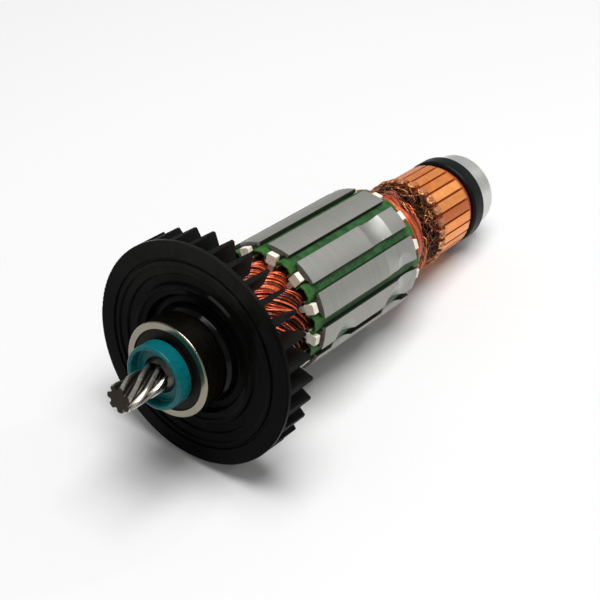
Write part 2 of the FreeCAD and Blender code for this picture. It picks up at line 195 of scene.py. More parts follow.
def axis_group():
    """Node group: rotor coordinates in mm from the object's own coordinates."""
    g = bpy.data.node_groups.new("rotor_coordinates", "ShaderNodeTree")
    for n in ("Vector", "Wrapped"):
        g.interface.new_socket(n, in_out="OUTPUT", socket_type="NodeSocketVector")
    for n in ("S", "R", "Psi"):
        g.interface.new_socket(n, in_out="OUTPUT", socket_type="NodeSocketFloat")
    q = G(g)
    out = q.new("NodeGroupOutput")
    tc = q.new("ShaderNodeTexCoord")
    d = q.vmath("SUBTRACT", tc.outputs["Object"], tuple(C))
    d = q.vmath("SCALE", d, scale=1000.0)
    s = q.vmath("DOT_PRODUCT", d, tuple(A))
    y = q.vmath("DOT_PRODUCT", d, tuple(-Y))
    z = q.vmath("DOT_PRODUCT", d, tuple(Z))
    r = q.math("SQRT", q.math("ADD", q.math("MULTIPLY", y, y), q.math("MULTIPLY", z, z)))
    psi = q.math("ARCTAN2", y, z)
    q.put(out.inputs["Vector"], q.combine(s, y, z))
    # circumferential wrap: radius-free unit direction keeps it seamless
    uy = q.math("DIVIDE", y, r)
    uz = q.math("DIVIDE", z, r)
    q.put(out.inputs["Wrapped"], q.combine(s, uy, uz))
    q.put(out.inputs["S"], s)
    q.put(out.inputs["R"], r)
    q.put(out.inputs["Psi"], psi)
    return g


AXIS = axis_group()


def coords(q):
    n = q.new("ShaderNodeGroup")
    n.node_tree = AXIS
    return n.outputs


def from_slot(q, c):
    """Sideways distance in mm from the nearest slot's centre plane."""
    w = q.math("WRAP", q.math("SUBTRACT", c["Psi"], math.radians(19.3)), math.radians(15.0), math.radians(-15.0))
    return q.math("MULTIPLY", q.math("ABSOLUTE", q.math("SINE", w)), c["R"])


def finish_mat(b, q, color, rough, metallic=0.0, normal=None, coat=0.0, coat_rough=0.1, spec=0.5, ior=1.5):
    q.put(b.inputs["Base Color"], color if isinstance(color, bpy.types.NodeSocket) else tuple(color) + (1.0,))
    q.put(b.inputs["Roughness"], rough)
    b.inputs["Metallic"].default_value = metallic
    if normal is not None:
        q.put(b.inputs["Normal"], normal)
    b.inputs["Coat Weight"].default_value = coat
    b.inputs["Coat Roughness"].default_value = coat_rough
    b.inputs["Specular IOR Level"].default_value = spec
    b.inputs["IOR"].default_value = ior


# ----------------------------------------------------------------- materials
def m_core():
    mt, nt, b = material("core_laminations")
    q = G(nt); c = coords(q)
    lam = q.math("SINE", q.math("MULTIPLY", c["S"], 2 * math.pi / 0.5))
    turn = q.noise(q.vmath("MULTIPLY", c["Wrapped"], (9.0, 1.3, 1.3)), 1.0, 4, 0.6)
    blot = q.noise(c["Vector"], 0.16, 3, 0.5)
    fine = q.noise(c["Vector"], 2.2, 3, 0.6)
    base = q.ramp(turn, [(0.3, (0.30, 0.305, 0.275)), (0.55, (0.36, 0.362, 0.33)), (0.8, (0.42, 0.422, 0.39))])
    base = q.mix(q.step(blot, 0.42, 0.75, 0.0, 0.35), base, (0.40, 0.385, 0.34))
    # a milled cut is fresh metal; its rear end is painted brighter, a painted highlight where the cut's slope faces
    # the lamp, weaker on the teeth past psi 45 degrees
    cut = q.math("MULTIPLY", q.step(c["R"], 17.46, 17.38), q.step(c["R"], 16.2, 16.35))
    cut_highlight_mask = q.math("MULTIPLY", q.step(c["S"], 57.0, 64.0), q.step(c["S"], 64.7, 64.3))
    cut_highlight_mask = q.math("MULTIPLY", cut_highlight_mask, q.step(c["Psi"], math.radians(45), math.radians(56), 1.0, 0.3))
    tone = q.mix(cut_highlight_mask, (0.36, 0.36, 0.34), (0.62, 0.615, 0.58))
    base = q.mix(q.math("MULTIPLY", cut, 0.9), base, tone)
    # slot walls below the tooth tips are painted dark brown
    deep = q.step(c["R"], 16.9, 16.2)
    base = q.mix(q.math("MULTIPLY", deep, 0.8), base, (0.05, 0.035, 0.022))
    # painted shade: the mouths' side walls are painted near-black up to the edge
    side = q.step(from_slot(q, c), MOUTH_HALF + 0.14, MOUTH_HALF + 0.04)
    base = q.mix(q.math("MULTIPLY", side, 0.88), base, (0.022, 0.022, 0.016))
    rough = q.math("ADD", q.math("MULTIPLY", fine, 0.12), 0.48)
    rough = q.math("SUBTRACT", rough, q.math("MULTIPLY", cut, 0.12))
    h = q.math("ADD", q.math("MULTIPLY", lam, 0.5), q.math("MULTIPLY", turn, 1.2))
    n = q.bump(h, 0.35, 0.00003)
    finish_mat(b, q, base, rough, 0.78, n)
    return mt


def m_pinion():
    """Ground steel: bright tooth crests, painted shade in the grooves, a dull end face painted dark as a painted
    reflection, and painted shadow where it runs in the ring.
    """
    mt, nt, b = material("pinion_steel")
    q = G(nt); c = coords(q)
    grind = q.noise(q.vmath("MULTIPLY", c["Wrapped"], (5.6, 2.0, 2.0)), 1.0, 4, 0.65)
    blot = q.noise(c["Vector"], 0.7, 3, 0.6)
    base = q.ramp(grind, [(0.25, (0.46, 0.43, 0.38)), (0.75, (0.66, 0.63, 0.57))])
    teeth = q.step(c["S"], -8.0, -9.0)
    # painted shade in the gaps between the teeth
    groove_shade_mask = q.math("MULTIPLY", q.step(c["R"], 3.6, 3.0), teeth)
    base = q.mix(q.math("MULTIPLY", groove_shade_mask, 0.92), base, (0.055, 0.042, 0.032))
    # painted reflection: the end face is painted dark in place of the dark surroundings it would mirror
    face = q.step(c["S"], -24.38, -24.46)
    base = q.mix(q.math("MULTIPLY", face, 0.95), base, (0.020, 0.015, 0.011))
    # painted shadow on the shaft where it runs inside the teal ring
    inside = q.math("MULTIPLY", q.step(c["S"], -13.6, -12.6), q.step(c["S"], -4.6, -5.6))
    base = q.mix(q.math("MULTIPLY", inside, 0.85), base, (0.03, 0.022, 0.016))
    rough = q.math("ADD", q.math("MULTIPLY", blot, 0.16), 0.2)
    rough = q.math("ADD", rough, q.math("MULTIPLY", face, 0.2))
    n = q.bump(grind, 0.15, 0.00002)
    finish_mat(b, q, base, rough, 0.95, n)
    return mt


def m_steel(name, color, r0, r1, ring=True, tint=None, scale=1.0, metallic=1.0, bump=0.15):
    mt, nt, b = material(name)
    q = G(nt); c = coords(q)
    v = q.vmath("MULTIPLY", c["Wrapped"], (14.0 * scale, 2.0, 2.0)) if ring else c["Vector"]
    grind = q.noise(v, 1.0, 4, 0.65)
    blot = q.noise(c["Vector"], 0.5, 3, 0.6)
    lo = tuple(x * 0.82 for x in color)
    base = q.ramp(grind, [(0.25, lo), (0.75, color)])
    if tint:
        base = q.mix(q.step(blot, 0.5, 0.8, 0.0, 0.6), base, tint)
    rough = q.math("ADD", q.math("MULTIPLY", blot, r1 - r0), r0)
    n = q.bump(grind, bump, 0.00002)
    finish_mat(b, q, base, rough, metallic, n)
    return mt


def m_plastic(name, dark, light, r0, r1, bump=0.1, coat=0.0, scale=0.8, sss=0.0, spec=0.5):
    mt, nt, b = material(name)
    q = G(nt); c = coords(q)
    n1 = q.noise(c["Vector"], scale, 4, 0.6)
    n2 = q.noise(c["Vector"], scale * 9, 3, 0.6)
    base = q.ramp(n1, [(0.3, dark), (0.7, light)])
    rough = q.math("ADD", q.math("MULTIPLY", n1, r1 - r0), r0)
    n = q.bump(n2, bump, 0.00004)
    finish_mat(b, q, base, rough, 0.0, n, coat, 0.15, spec)
    if sss:
        b.inputs["Subsurface Weight"].default_value = sss
        b.inputs["Subsurface Radius"].default_value = (0.002, 0.0012, 0.0006)
        b.inputs["Subsurface Scale"].default_value = 0.6
    return mt


def m_wire(name, dark, mid, light, metallic, r0, r1, coat, speck=0.25, spec=0.5):
    mt, nt, b = material(name)
    q = G(nt); c = coords(q)
    n1 = q.noise(c["Vector"], 0.55, 4, 0.65)
    n2 = q.noise(c["Vector"], 3.5, 3, 0.6)
    f = q.math("ADD", q.math("MULTIPLY", n1, 0.75), q.math("MULTIPLY", n2, 0.25))
    base = q.ramp(f, [(0.34, dark), (0.5, mid), (0.66, light)])
    rough = q.math("ADD", q.math("MULTIPLY", n2, r1 - r0), r0)
    n = q.bump(n2, speck, 0.00005)
    finish_mat(b, q, base, rough, metallic, n, coat, 0.06, spec)
    return mt


def m_cream():
    """End insulator: cream, darkened to near-black brown next to the core and, less, towards the inside."""
    mt, nt, b = material("cream_moulding")
    q = G(nt); c = coords(q)
    n1 = q.noise(c["Vector"], 0.9, 4, 0.6)
    n2 = q.noise(c["Vector"], 6.0, 3, 0.6)
    base = q.ramp(n1, [(0.3, (0.78, 0.72, 0.58)), (0.7, (0.92, 0.88, 0.77))])
    face = q.math("MINIMUM", q.math("ABSOLUTE", q.math("SUBTRACT", c["S"], 29.6)), q.math("ABSOLUTE", q.math("SUBTRACT", c["S"], 70.5)))
    near = q.step(face, 1.2, 0.9)
    low = q.step(c["R"], 13.9, 12.6)
    darkening = q.math("MAXIMUM", q.math("MULTIPLY", near, 0.99), q.math("MULTIPLY", low, 0.5))
    darkening = q.math("MULTIPLY", darkening, q.step(n2, 0.25, 0.6, 0.85, 1.0))
    base = q.mix(darkening, base, (0.020, 0.009, 0.005))
    n = q.bump(n2, 0.25, 0.00005)
    finish_mat(b, q, base, q.math("ADD", q.math("MULTIPLY", n1, 0.2), 0.4), 0.0, n, 0.0, 0.1, 0.16)
    return mt


def m_green():
    """Wedges: varnished fibre, painted darker inside the core than at the free ends: painted shade in the slots."""
    mt, nt, b = material("green_fibre")
    q = G(nt); c = coords(q)
    n1 = q.noise(c["Vector"], 0.5, 4, 0.6)
    n2 = q.noise(c["Vector"], 4.5, 3, 0.6)
    base = q.ramp(n1, [(0.3, (0.014, 0.070, 0.011)), (0.7, (0.044, 0.155, 0.030))])
    slot_shade_tone = q.ramp(n1, [(0.3, (0.009, 0.048, 0.012)), (0.7, (0.034, 0.125, 0.034))])
    # painted shade: inside the core the strip takes the darker tone
    inside = q.math("MULTIPLY", q.step(c["S"], 29.2, 30.4), q.step(c["S"], 70.9, 69.8))
    base = q.mix(inside, base, slot_shade_tone)
    # painted shadow along both sides of the slot's mouth
    mouth_side_shadow = q.math("MULTIPLY", q.step(from_slot(q, c), MOUTH_HALF - 0.42, MOUTH_HALF - 0.02), inside)
    base = q.mix(q.math("MULTIPLY", mouth_side_shadow, 0.82), base, (0.008, 0.016, 0.006))
    n = q.bump(n2, 0.3, 0.00004)
    finish_mat(b, q, base, q.math("ADD", q.math("MULTIPLY", n1, 0.15), 0.4), 0.0, n, 0.0, 0.1, 0.25)
    return mt


def m_liner():
    """Slot liner paper: pale at its upper edge, soaked in varnish below."""
    mt, nt, b = material("varnished_paper")
    q = G(nt); c = coords(q)
    n1 = q.noise(c["Vector"], 0.8, 4, 0.6)
    base = q.ramp(n1, [(0.3, (0.05, 0.022, 0.010)), (0.7, (0.12, 0.06, 0.028))])
    base = q.mix(q.math("MULTIPLY", q.step(c["R"], 13.9, 14.3), 0.85), base, (0.70, 0.66, 0.56))
    n = q.bump(n1, 0.4, 0.00005)
    finish_mat(b, q, base, 0.35, 0.0, n, 0.3, 0.1, 0.5)
    return mt


def m_hook():
    """Fused copper: pinkish and matt on top, dark in the dimple and at the foot."""
    mt, nt, b = material("fused_hook_copper")
    q = G(nt); c = coords(q)
    n1 = q.noise(c["Vector"], 0.55, 4, 0.65)
    n2 = q.noise(c["Vector"], 3.5, 3, 0.6)
    base = q.ramp(q.math("ADD", q.math("MULTIPLY", n1, 0.6), q.math("MULTIPLY", n2, 0.4)),
                  [(0.34, (0.30, 0.105, 0.045)), (0.5, (0.58, 0.27, 0.14)), (0.66, (0.82, 0.47, 0.28))])
    low = q.step(c["R"], 13.28, 12.95)
    base = q.mix(q.math("MULTIPLY", low, 0.75), base, (0.13, 0.038, 0.014))
    base = q.mix(q.step(c["R"], 13.46, 13.36, 0.0, 0.45), base, (0.20, 0.065, 0.026))
    n = q.bump(n2, 0.12, 0.00004)
    finish_mat(b, q, base, q.math("ADD", q.math("MULTIPLY", n2, 0.2), 0.52), 0.25, n, 0.0, 0.1, 0.2)
    return mt


def m_commutator():
    mt, nt, b = material("commutator_copper_worn")
    q = G(nt); c = coords(q)
    # which bar: psi counted in pitches of 15 degrees
    k = q.math("FLOOR", q.math("DIVIDE", q.math("SUBTRACT", c["Psi"], math.radians(4.4 - 7.5)), math.radians(15.0)))
    wn = q.new("ShaderNodeTexWhiteNoise", noise_dimensions="1D")
    q.put(wn.inputs["W"], k)
    turn = q.noise(q.vmath("MULTIPLY", c["Wrapped"], (22.0, 1.2, 1.2)), 1.0, 4, 0.6)
    blot = q.noise(c["Vector"], 0.45, 4, 0.6)
    base = q.ramp(q.math("ADD", q.math("MULTIPLY", wn.outputs["Value"], 0.35), q.math("MULTIPLY", blot, 0.65)),
                  [(0.25, (0.74, 0.22, 0.055)), (0.5, (0.90, 0.31, 0.080)), (0.75, (1.0, 0.42, 0.125))])
    # one bar runs darker and redder
    odd = q.math("COMPARE", k, 4.0, 0.4)
    base = q.mix(q.math("MULTIPLY", odd, 0.75), base, (0.50, 0.12, 0.035))
    base = q.mix(q.step(turn, 0.55, 0.85, 0.0, 0.3), base, (0.50, 0.16, 0.05))
    # edges towards the ring and the hooks are duller
    end = q.math("ADD", q.step(c["S"], 105.0, 106.4), q.step(c["S"], 93.8, 92.6))
    base = q.mix(q.math("MULTIPLY", end, 0.35), base, (0.42, 0.18, 0.08))
    gap = q.step(c["R"], 12.42, 12.2)
    base = q.mix(q.math("MULTIPLY", gap, 0.85), base, (0.62, 0.115, 0.028))
    rough = q.math("ADD", q.math("MULTIPLY", blot, 0.2), 0.30)
    n = q.bump(turn, 0.3, 0.00003)
    finish_mat(b, q, base, rough, 0.6, n, 0.0, 0.1, 0.3)
    return mt


def m_fan():
    mt, nt, b = material("fan_black_moulding")
    q = G(nt); c = coords(q)
    n1 = q.noise(c["Vector"], 0.12, 4, 0.6)
    n2 = q.noise(c["Vector"], 5.0, 4, 0.6)
    dust = q.noise(c["Vector"], 1.7, 5, 0.75)
    base = q.ramp(n1, [(0.3, (0.0015, 0.0016, 0.0015)), (0.7, (0.0024, 0.0025, 0.0023))])
    base = q.mix(q.step(dust, 0.68, 0.82, 0.0, 0.12), base, (0.02, 0.02, 0.019))
    # painted sheen: the upper part of the face, between R 16.5 and 23, is lightened
    upper_face_sheen = q.math("MULTIPLY", q.step(c["R"], 16.5, 23.0), q.step(q.math("ABSOLUTE", q.math("ADD", c["Psi"], 0.2)), 1.35, 0.3))
    upper_face_sheen = q.math("MULTIPLY", upper_face_sheen, q.step(n1, 0.3, 0.6, 0.5, 1.0))
    base = q.mix(upper_face_sheen, base, (0.0125, 0.013, 0.0115))
    # faint scratches round the face, a polished middle
    scr = q.noise(q.vmath("MULTIPLY", c["Vector"], (1.0, 6.0, 0.7)), 0.9, 2, 0.4)
    rough = q.math("ADD", q.math("MULTIPLY", n1, 0.06), 0.115)
    rough = q.math("ADD", rough, q.step(scr, 0.68, 0.74, 0.0, 0.10))
    rough = q.math("ADD", rough, q.step(c["R"], 26.0, 27.5, 0.0, 0.14))
    rough = q.math("ADD", rough, q.step(c["S"], 1.4, 3.0, 0.0, 0.25))
    n = q.bump(q.math("ADD", q.math("MULTIPLY", n2, 0.5), q.math("MULTIPLY", n1, 6.0)), 0.12, 0.00006)
    finish_mat(b, q, base, rough, 0.0, n, 0.0, 0.14, 0.03)
    # the hub is polished
    front = q.step(c["S"], 2.4, 1.2)
    q.put(b.inputs["Coat Weight"], q.math("MULTIPLY", front, q.step(c["R"], 14.8, 13.9, 0.0, 0.22)))
    return mt


def m_blades():
    """Same moulding as the disc, duller and a little dusty."""
    mt, nt, b = material("fan_blade_moulding")
    q = G(nt); c = coords(q)
    n1 = q.noise(c["Vector"], 0.3, 4, 0.6)
    n2 = q.noise(c["Vector"], 5.0, 4, 0.6)
    base = q.ramp(n1, [(0.3, (0.0050, 0.0058, 0.0052)), (0.7, (0.0095, 0.0110, 0.0098))])
    base = q.mix(q.step(n2, 0.66, 0.85, 0.0, 0.15), base, (0.03, 0.03, 0.028))
    rough = q.math("ADD", q.math("MULTIPLY", n1, 0.12), 0.5)
    n = q.bump(n2, 0.15, 0.00006)
    finish_mat(b, q, base, rough, 0.0, n, 0.0, 0.1, 0.05)
    return mt


def m_dust():
    """Ring behind the commutator: slate on its rear half, near-black on its front half towards the bars."""
    mt, nt, b = material("dust_ring_moulding")
    q = G(nt); c = coords(q)
    n1 = q.noise(c["Vector"], 0.8, 4, 0.6)
    n2 = q.noise(c["Vector"], 7.0, 3, 0.6)
    base = q.ramp(n1, [(0.3, (0.004, 0.0052, 0.0052)), (0.7, (0.007, 0.009, 0.009))])
    base = q.mix(q.step(c["S"], 111.3, 110.5, 0.0, 0.93), base, (0.0018, 0.0019, 0.002))
    n = q.bump(n2, 0.15, 0.00004)
    finish_mat(b, q, base, q.math("ADD", q.math("MULTIPLY", n1, 0.1), 0.42), 0.0, n, 0.0, 0.1, 0.15)
    return mt


M = {
    "core": m_core(),
    "pinion": m_pinion(),
    # the front bearing's steel has a far darker base than the rear bearing's steel: painted shade over the front
    # bearing
    "bearing": m_steel("bearing_steel_ground", (0.29, 0.268, 0.21), 0.15, 0.22, scale=0.3, bump=0.03),
    "silver": m_steel("bearing_steel_rear", (0.70, 0.70, 0.67), 0.28, 0.38, metallic=0.7),
    "shield": m_steel("shield_steel", (0.5, 0.5, 0.5), 0.25, 0.4),
    "fan": m_fan(),
    "blades": m_blades(),
    "teal": m_plastic("teal_moulding", (0.0, 0.092, 0.104), (0.0005, 0.128, 0.140), 0.24, 0.32, 0.08, 0.0, 0.7, 0.0, spec=0.18),
    "seal": m_plastic("seal_brown_rubber", (0.0045, 0.0035, 0.002), (0.009, 0.006, 0.0035), 0.4, 0.55, 0.2, spec=0.12),
    "cream": m_cream(),
    "green": m_green(),
    "liner": m_liner(),
    "sleeve": m_plastic("sleeve_plastic", (0.07, 0.045, 0.028), (0.11, 0.07, 0.045), 0.4, 0.55),
    "hub": m_plastic("hub_moulding", (0.24, 0.045, 0.011), (0.36, 0.075, 0.020), 0.4, 0.6, 0.3, spec=0.1),
    "dust": m_dust(),
    "cage": m_plastic("cage_nylon", (0.2, 0.15, 0.09), (0.28, 0.2, 0.12), 0.4, 0.5),
    # near-black ground under the drawn wires: painted shade in the gaps between them
    "base_wind": m_wire("coil_ground_gap_shade", (0.010, 0.004, 0.002), (0.022, 0.0075, 0.0035), (0.048, 0.016, 0.007), 0.0, 0.55, 0.7, 0.0, 0.6, 0.08),
    # wire, wire2, wire3 and lead3 are lighter and darker copies of one enamelled wire; turns pick among them partly at
    # random and partly as painted shade
    "wire": m_wire("enamelled_wire", (0.58, 0.080, 0.014), (0.84, 0.155, 0.028), (1.0, 0.29, 0.065), 0.4, 0.2, 0.34, 0.45),
    "wire2": m_wire("enamelled_wire_red", (0.26, 0.020, 0.006), (0.46, 0.048, 0.011), (0.64, 0.10, 0.024), 0.4, 0.2, 0.34, 0.45),
    "wire3": m_wire("enamelled_wire_dark", (0.045, 0.0055, 0.0025), (0.105, 0.013, 0.005), (0.21, 0.032, 0.010), 0.3, 0.2, 0.35, 0.35),
    "band": m_wire("end_turn_wire", (0.50, 0.068, 0.012), (0.68, 0.105, 0.020), (0.86, 0.20, 0.042), 0.5, 0.26, 0.4, 0.12),
    "band2": m_wire("end_turn_wire_red", (0.20, 0.018, 0.006), (0.34, 0.034, 0.010), (0.50, 0.065, 0.018), 0.5, 0.28, 0.4, 0.1),
    "band3": m_wire("end_turn_wire_brown", (0.11, 0.026, 0.010), (0.20, 0.050, 0.019), (0.32, 0.095, 0.038), 0.4, 0.3, 0.45, 0.15),
    # lead, lead2 and lead3 are lighter and darker copies of one varnished lead wire; deeper leads take the darker ones
    # as painted shade, the rest at random
    "lead": m_wire("varnished_lead_wire", (0.26, 0.075, 0.022), (0.52, 0.19, 0.060), (0.86, 0.44, 0.19), 0.8, 0.2, 0.36, 0.1),
    "lead2": m_wire("varnished_lead_dark", (0.05, 0.015, 0.005), (0.13, 0.040, 0.014), (0.30, 0.11, 0.040), 0.8, 0.24, 0.4, 0.0),
    "lead3": m_wire("varnished_lead_black", (0.016, 0.0055, 0.0025), (0.042, 0.013, 0.005), (0.10, 0.033, 0.012), 0.75, 0.25, 0.4, 0.0),
    "hook": m_hook(),
    "copper": m_commutator(),
}

for node, key in {
    "shaft_with_pinion": "pinion", "shaft_sleeve": "sleeve", "teal_ring": "teal",
    "front_bearing_outer_ring": "bearing", "front_bearing_inner_ring": "bearing", "front_bearing_balls": "silver",
    "front_bearing_cage": "cage", "front_bearing_front_seal": "seal", "front_bearing_rear_seal": "seal",
    "rear_bearing_outer_ring": "silver", "rear_bearing_inner_ring": "silver", "rear_bearing_balls": "silver",
    "rear_bearing_cage": "cage", "rear_bearing_front_shield": "shield", "rear_bearing_rear_shield": "shield",
    "fan": "fan", "fan_blades": "blades", "core_stack": "core", "front_end_insulator": "cream", "rear_end_insulator": "cream",
    "slot_liners": "liner", "slot_wedges": "green", "armature_winding": "base_wind", "winding_leads": "lead",
    "commutator_bars": "copper", "commutator_hub": "hub", "commutator_bush": "shield", "dust_ring": "dust",
}.items():
    o = NODE[node]
    o.data.materials.clear()
    o.data.materials.append(M[key])


# -------------------------------------------------------------- wire drawing
class Tubes:
    """Many round wires gathered in one mesh, each with its own material slot."""

    def __init__(self):
        self.v, self.f, self.m, self.n = [], [], [], 0

    def add(self, pts, radius, sides=7, mat=0):
        p = np.array([tuple(q) for q in pts], float)
        d = np.gradient(p, axis=0)
        d /= np.linalg.norm(d, axis=1)[:, None]
        ref = np.array((0.3, 0.9, 0.31))
        nrm = ref - (ref @ d[0]) * d[0]
        nrm /= np.linalg.norm(nrm)
        a = np.arange(sides) * 2 * math.pi / sides
        for i in range(len(p)):
            nrm = nrm - (nrm @ d[i]) * d[i]
            nrm /= np.linalg.norm(nrm)
            bi = np.cross(d[i], nrm)
            self.v.append(p[i] + radius * (np.cos(a)[:, None] * nrm + np.sin(a)[:, None] * bi))
        base, k = self.n, len(p)
        for i in range(k - 1):
            for j in range(sides):
                j2 = (j + 1) % sides
                self.f.append((base + i * sides + j, base + i * sides + j2,
                               base + (i + 1) * sides + j2, base + (i + 1) * sides + j))
                self.m.append(mat)
        self.f.append(tuple(base + j for j in reversed(range(sides))))
        self.f.append(tuple(base + (k - 1) * sides + j for j in range(sides)))
        self.m += [mat, mat]
        self.n += k * sides

    def build(self, name, mats, body="rotor"):
        me = bpy.data.meshes.new(name)
        me.from_pydata([tuple(x) for x in np.concatenate(self.v)], [], self.f)
        for mt in mats:
            me.materials.append(mt)
        me.polygons.foreach_set("material_index", self.m)
        me.polygons.foreach_set("use_smooth", [len(f) == 4 for f in self.f])
        me.update()
        o = bpy.data.objects.new(name, me)
        scene.collection.objects.link(o)
        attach(o, body)
        return o


def smooth_path(keys, n):
    """Catmull-Rom through key tuples, n samples."""
    k = np.array(keys, float)
    k = np.vstack([2 * k[0] - k[1], k, 2 * k[-1] - k[-2]])
    out = []
    m_ = len(k) - 3
    for i in range(n):
        t = i / (n - 1) * m_
        j = min(int(t), m_ - 1)
        u = t - j
        a, b, c, d = k[j], k[j + 1], k[j + 2], k[j + 3]
        out.append(0.5 * ((2 * b) + (c - a) * u + (2 * a - 5 * b + 4 * c - d) * u * u + (3 * b - a - 3 * c + d) * u ** 3))
    return np.array(out)


SLOT0 = 19.3
TOOTH0 = SLOT0 + 15.0


def lathe(name, prof, mat, sides=144, wave=None):
    """Surface turned about the rotor's axis from (s, r) points."""
    bm = bmesh.new()
    rows = []
    for s_, r_ in prof:
        rows.append([bm.verts.new(W(s_, r_ + (wave(s_, 360.0 * i / sides) if wave else 0.0), 360.0 * i / sides))
                     for i in range(sides)])
    for a, b in zip(rows[:-1], rows[1:]):
        for i in range(sides):
            j = (i + 1) % sides
            bm.faces.new((a[i], b[i], b[j], a[j]))
    bm.normal_update()
    me = bpy.data.meshes.new(name)
    bm.to_mesh(me)
    bm.free()
    me.polygons.foreach_set("use_smooth", [True] * len(me.polygons))
    me.materials.append(mat)
    o = bpy.data.objects.new(name, me)
    scene.collection.objects.link(o)
    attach(o, "rotor")
    return o


def slot_wave(s_, psi_):
    """Low over the teeth, high over the slots."""
    return 0.55 * math.cos(math.radians(12 * (psi_ - SLOT0)))


def fillers():
    # the coil ground is near-black: painted shade in the gaps between the drawn wires
    f = lathe("front_coil_ground", [(30.0, 7.0), (29.8, 11.4), (26.5, 11.8), (22.0, 11.7), (18.6, 10.9),
                                    (17.0, 9.6), (16.6, 8.0), (16.8, 6.8)], M["base_wind"], wave=slot_wave)
    r = lathe("rear_coil_ground", [(70.2, 7.0), (70.4, 12.0), (71.4, 13.7), (74.0, 14.2), (76.6, 13.8), (78.6, 12.9),
                                   (82.0, 11.9), (86.0, 11.4), (89.3, 11.2), (89.3, 6.6)], M["base_wind"])
    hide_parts("armature_winding")
    return f, r


# the front bundles' ridge line, and distance along it from s = 28.6
MER = smooth_path([(30.6, 12.9), (28.6, 13.05), (26.6, 13.3), (24.4, 13.5), (22.0, 13.4), (19.6, 12.85), (17.8, 11.95),
                   (16.5, 10.6), (15.8, 9.1), (15.8, 7.9), (16.2, 7.2)], 241)
MER_M = np.concatenate(([0.0], np.cumsum(np.linalg.norm(np.diff(MER, axis=0), axis=1))))
MER_M -= MER_M[24]
MER_T = np.gradient(MER, axis=0)
MER_T /= np.linalg.norm(MER_T, axis=1)[:, None]
HALF_M = [-2.0, 0.0, 1.8, 4.0, 7.0, 9.5, 11.5, 13.0, 15.0, 17.0]
HALF_W = [1.15, 1.7, 2.6, 3.3, 3.45, 3.3, 3.0, 2.6, 2.2, 1.9]


def ridge(m_, deep):
    """Point (s, r) at distance m_ along the ridge line and deep below it."""
    s_, r_ = np.interp(m_, MER_M, MER[:, 0]), np.interp(m_, MER_M, MER[:, 1])
    ts, tr = np.interp(m_, MER_M, MER_T[:, 0]), np.interp(m_, MER_M, MER_T[:, 1])
    return s_ - deep * tr, r_ + deep * ts


def slanted(psi0, m0, uu0, uu1, theta, deep, wob, lead_in=None):
    """One turn that crosses its bundle from uu0 to uu1 (in half widths) at theta from the axis."""
    keys = list(lead_in or [])
    m_, n, tan = m0, 44, math.tan(math.radians(theta))
    ph = rng.uniform(0, 6.28)
    for i in range(n + 1):
        uu = uu0 + (uu1 - uu0) * i / n
        hw = float(np.interp(m_, HALF_M, HALF_W))
        drop = 1.25 * abs(uu) ** 2.4 + deep + wob * math.sin(ph + 7 * i / n)
        s_, r_ = ridge(m_, drop)
        turn = 3.6 * min(1.0, max(0.0, m_ / 10.0))
        keys.append((s_, r_, psi0 + turn + math.degrees(uu * hw / max(r_, 6.8))))
        m_ += abs(uu1 - uu0) / n * hw / tan
        if m_ > 16.2:
            break
    return np.array(keys)


def resample(keys, n):
    k = np.asarray(keys, float)
    x = np.linspace(0, len(k) - 1, n)
    return np.stack([np.interp(x, np.arange(len(k)), k[:, c]) for c in range(3)], axis=1)


def front_turns():
    t = Tubes()
    for k in range(12):
        psi = SLOT0 + 30 * k
        # painted shade: each bundle's shade moves its turns towards the darker wire copies, most for the bundles on
        # the lower side
        shade = (0.05, 0.28, 0.74, 0.92, 0.4, 0.4, 0.1, 0.3, 0.2, 0.35, 0.1, 0.0)[k]
        for layer in range(2):
            deep = 0.42 * layer
            # turns out of the slot's mouth, close to the wedge's free end
            for j in range(5):
                u0 = 0.80 - 0.30 * j + rng.uniform(-0.05, 0.05)
                r0 = 13.0 - 0.12 * j - deep
                lead_in = [(31.0, r0 - 0.1, psi + math.degrees(1.0 * u0 / r0)), (29.9, r0, psi + math.degrees(1.05 * u0 / r0))]
                p = slanted(psi, -0.4 + 0.12 * j, u0, -1.12, 58 - 1.5 * j + rng.uniform(-2, 2), deep, 0.05, lead_in)
                tone = rng.random() + shade
                t.add([W(*q) for q in resample(p, 22 if layer == 0 else 15)], 0.000255, 7 if layer == 0 else 5,
                      0 if tone < 0.55 else (1 if tone < 0.9 else (2 if tone < 1.4 else 3)))
            # turns that come up from the side where the next bundle starts
            m0 = 0.05 + (0.3 if layer else 0.0)
            while m0 < 13.6:
                theta = max(23.0, 54.0 - 3.3 * m0) + rng.uniform(-2.2, 2.2)
                d = deep + rng.uniform(-0.06, 0.10)
                p = slanted(psi, m0, 1.14, -1.14, theta, d, 0.05)
                # painted shade: turns further round the dome and in the lower layer take darker copies
                tone = rng.random() + 0.02 * m0 + 0.18 * layer + shade
                t.add([W(*q) for q in resample(p, 24 if layer == 0 else 16)], 0.00026 if rng.random() < 0.7 else 0.00024,
                      7 if layer == 0 else 5, 0 if tone < 0.55 else (1 if tone < 0.92 else (2 if tone < 1.4 else 3)))
                m0 += (0.54 + rng.uniform(-0.05, 0.09)) / math.sin(math.radians(max(24.0, theta)))
        # a few turns lie across the others
        for j in range(3):
            m0 = rng.uniform(0.8, 6.5)
            p = slanted(psi, m0, 1.05, -1.05, max(20.0, 52.0 - 3.3 * m0 + rng.choice((-14, 12))), -0.32, 0.06)
            # painted shade, as for the other turns of the bundle
            t.add([W(*q) for q in resample(p, 24)], 0.00024, 7, 0 if rng.random() > shade + 0.2 else 1)
    return t.build("front_end_turns", [M["wire"], M["wire2"], M["wire3"], M["lead3"]])


